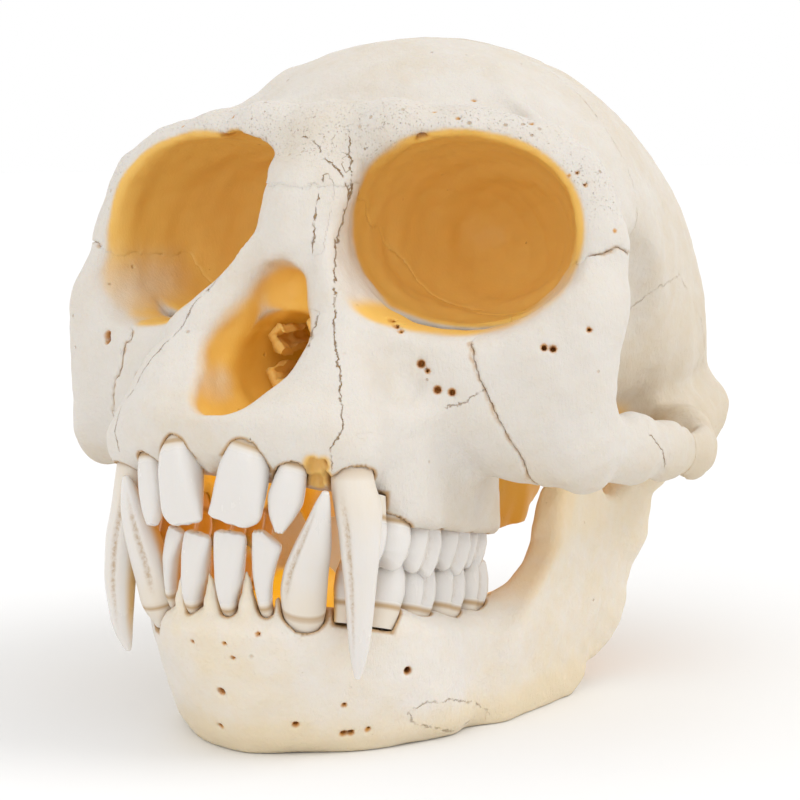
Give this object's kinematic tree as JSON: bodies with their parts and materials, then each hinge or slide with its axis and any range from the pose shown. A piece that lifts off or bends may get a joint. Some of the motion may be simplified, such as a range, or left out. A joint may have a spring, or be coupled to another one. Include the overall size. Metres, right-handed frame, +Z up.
{
  "type": "monkey skull",
  "caption": "Life-size adult male monkey skull with closed jaw, open orbits and nose, bowed cheekbones and long canines, resting on its lower jaw.",
  "frame": {"origin": "on the table under the middle of the bounding box", "axes": "+Z up, -Y the way the face looks, +X to the skull's own left"},
  "size_m": [0.0792, 0.1092, 0.0826],
  "materials": {
    "bone": "dry bleached bone, matt with a faint sheen",
    "jaw_bone": "dry bleached bone, creamier than the cranium",
    "teeth": "polished enamel, off-white"
  },
  "bodies": {
    "root": {"braincase": "bone", "face": "bone", "cheekbone_left": "bone", "cheekbone_right": "bone", "mandible": "jaw_bone"}
  },
  "joints": []
}
